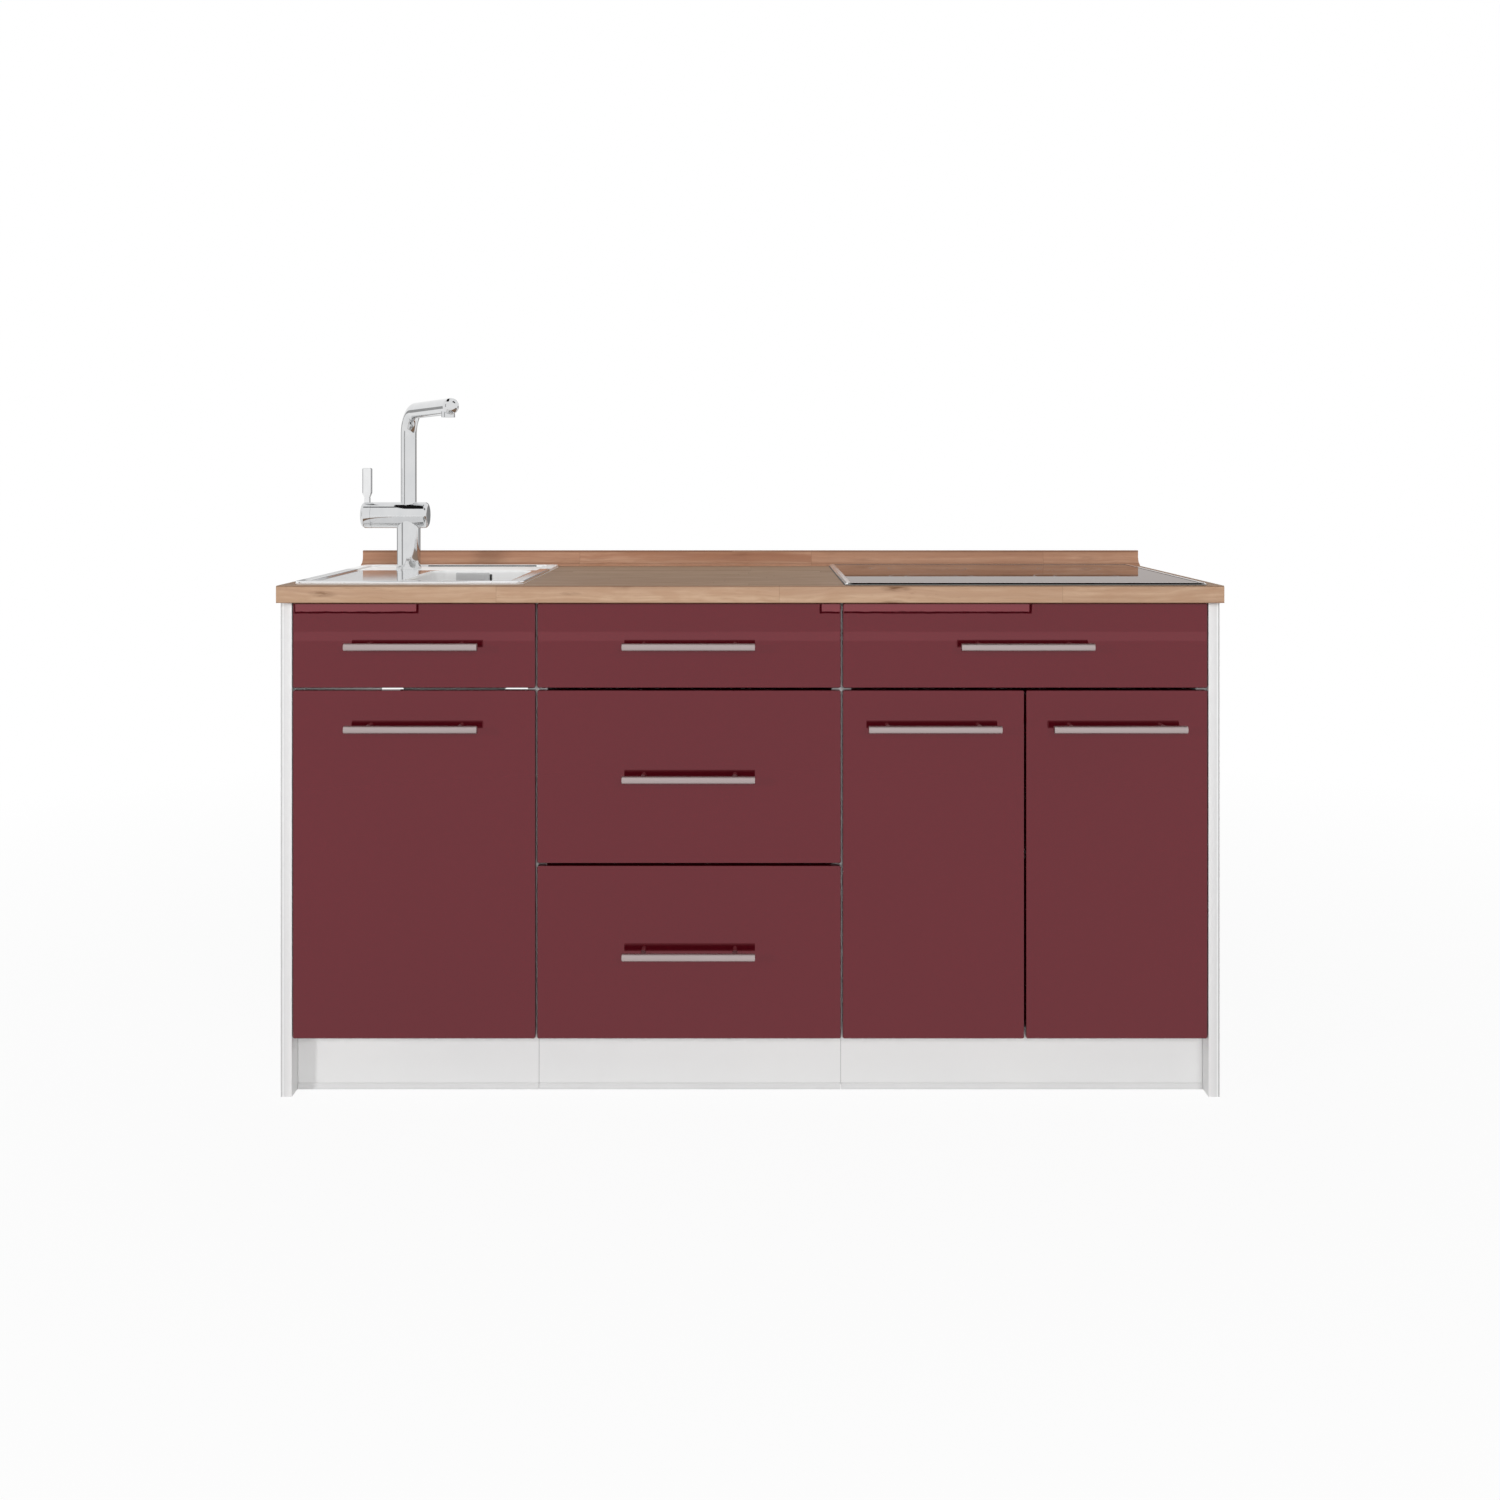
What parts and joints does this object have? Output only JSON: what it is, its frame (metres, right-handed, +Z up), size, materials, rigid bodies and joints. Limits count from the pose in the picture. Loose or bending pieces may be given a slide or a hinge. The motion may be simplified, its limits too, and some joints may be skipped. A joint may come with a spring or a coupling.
{
  "type": "kitchen block",
  "caption": "Straight kitchen base block with gloss fronts, bar handles, wood worktop, inset sink with mixer tap, drawers, cupboards and a glass hob.",
  "frame": {"origin": "middle of the footprint's box, on the floor", "axes": "+X to the right along the block, +Y to the wall behind it, +Z up"},
  "size_m": [1.54, 0.615, 1.154],
  "materials": {
    "front_gloss": "high-gloss burgundy foil on fibreboard",
    "carcass_white": "white melamine on chipboard",
    "worktop_oak": "satin light oak stave laminate",
    "sink_steel": "satin stainless steel",
    "tap_chrome": "polished chrome plate",
    "tap_brass": "raw turned brass",
    "hob_glass": "polished black ceramic glass",
    "tray_metal": "light grey powder coat",
    "heater_ceramic": "matt pressed insulation",
    "handle_nickel": "brushed nickel",
    "hinge_nickel": "nickel plate",
    "plastic_grey": "moulded plastic"
  },
  "bodies": {
    "block": {"sink_panel": "front_gloss", "sink_unit_sides": "carcass_white", "drawer_unit_sides": "carcass_white", "hob_unit_sides": "carcass_white", "bottom_panels": "carcass_white", "back_panels": "carcass_white", "top_rails": "carcass_white", "hob_unit_shelf": "carcass_white", "end_panel_left": "carcass_white", "end_panel_right": "carcass_white", "plinth_left": "carcass_white", "plinth_middle": "carcass_white", "plinth_right": "carcass_white", "worktop": "worktop_oak", "wall_strip": "worktop_oak", "sink_basin": "sink_steel", "sink_drain": "sink_steel", "hob_frame": "sink_steel", "tap_body": "tap_chrome", "tap_shank": "tap_brass", "hob_glass": "hob_glass", "hob_case": "tray_metal", "drawer_runners": "tray_metal", "sink_panel_brackets": "tray_metal", "hob_heaters": "heater_ceramic", "sink_panel_handle": "handle_nickel", "hinge_arms": "hinge_nickel", "levelling_feet": "plastic_grey", "waste_trap": "plastic_grey"},
    "top_drawer": {"top_drawer_front": "front_gloss", "top_drawer_handle": "handle_nickel", "top_drawer_sides": "tray_metal", "top_drawer_base": "carcass_white"},
    "middle_drawer": {"middle_drawer_front": "front_gloss", "middle_drawer_handle": "handle_nickel", "middle_drawer_sides": "tray_metal", "middle_drawer_base": "carcass_white"},
    "bottom_drawer": {"bottom_drawer_front": "front_gloss", "bottom_drawer_handle": "handle_nickel", "bottom_drawer_sides": "tray_metal", "bottom_drawer_base": "carcass_white"},
    "hob_drawer": {"hob_drawer_front": "front_gloss", "hob_drawer_handle": "handle_nickel", "hob_drawer_sides": "tray_metal", "hob_drawer_base": "carcass_white"},
    "sink_door": {"sink_door": "front_gloss", "sink_door_handle": "handle_nickel", "sink_door_hinge_cups": "hinge_nickel"},
    "hob_left_door": {"hob_left_door": "front_gloss", "hob_left_door_handle": "handle_nickel", "hob_left_door_hinge_cups": "hinge_nickel"},
    "hob_right_door": {"hob_right_door": "front_gloss", "hob_right_door_handle": "handle_nickel", "hob_right_door_hinge_cups": "hinge_nickel"},
    "spout": {"tap_spout": "tap_chrome", "tap_aerator": "tap_chrome"},
    "mixer_cap": {"tap_cap": "tap_chrome"},
    "lever": {"tap_lever": "tap_chrome"},
    "strainer": {"sink_strainer": "sink_steel"}
  },
  "joints": [
    {"name": "top_drawer_slide", "type": "slide", "parent": "block", "child": "top_drawer", "axis": [0, 1, 0], "range_m": [-0.4, 0]},
    {"name": "middle_drawer_slide", "type": "slide", "parent": "block", "child": "middle_drawer", "axis": [0, 1, 0], "range_m": [-0.4, 0]},
    {"name": "bottom_drawer_slide", "type": "slide", "parent": "block", "child": "bottom_drawer", "axis": [0, 1, 0], "range_m": [-0.4, 0]},
    {"name": "hob_drawer_slide", "type": "slide", "parent": "block", "child": "hob_drawer", "axis": [0, 1, 0], "range_m": [-0.4, 0]},
    {"name": "sink_door_hinge", "type": "hinge", "parent": "block", "child": "sink_door", "pos_m": [-0.7465, -0.2705, 0.38], "axis": [0, 0, -1], "range_deg": [0, 105]},
    {"name": "hob_left_door_hinge", "type": "hinge", "parent": "block", "child": "hob_left_door", "pos_m": [0.1535, -0.2705, 0.38], "axis": [0, 0, -1], "range_deg": [0, 105]},
    {"name": "hob_right_door_hinge", "type": "hinge", "parent": "block", "child": "hob_right_door", "pos_m": [0.7465, -0.2705, 0.38], "axis": [0, 0, 1], "range_deg": [0, 105]},
    {"name": "spout_swivel", "type": "hinge", "parent": "block", "child": "spout", "pos_m": [-0.645, 0.1375, 1.0865], "axis": [0, 0, 1], "range_deg": [-90, 50]},
    {"name": "temperature_turn", "type": "hinge", "parent": "block", "child": "mixer_cap", "pos_m": [-0.723, 0.1375, 0.9415], "axis": [1, 0, 0], "range_deg": [-45, 45]},
    {"name": "flow_tilt", "type": "hinge", "parent": "mixer_cap", "child": "lever", "pos_m": [-0.7233, 0.1375, 0.956], "axis": [0, -1, 0], "range_deg": [0, 25]},
    {"name": "strainer_lift", "type": "slide", "parent": "block", "child": "strainer", "axis": [0, 0, 1], "range_m": [0, 0.012]}
  ]
}
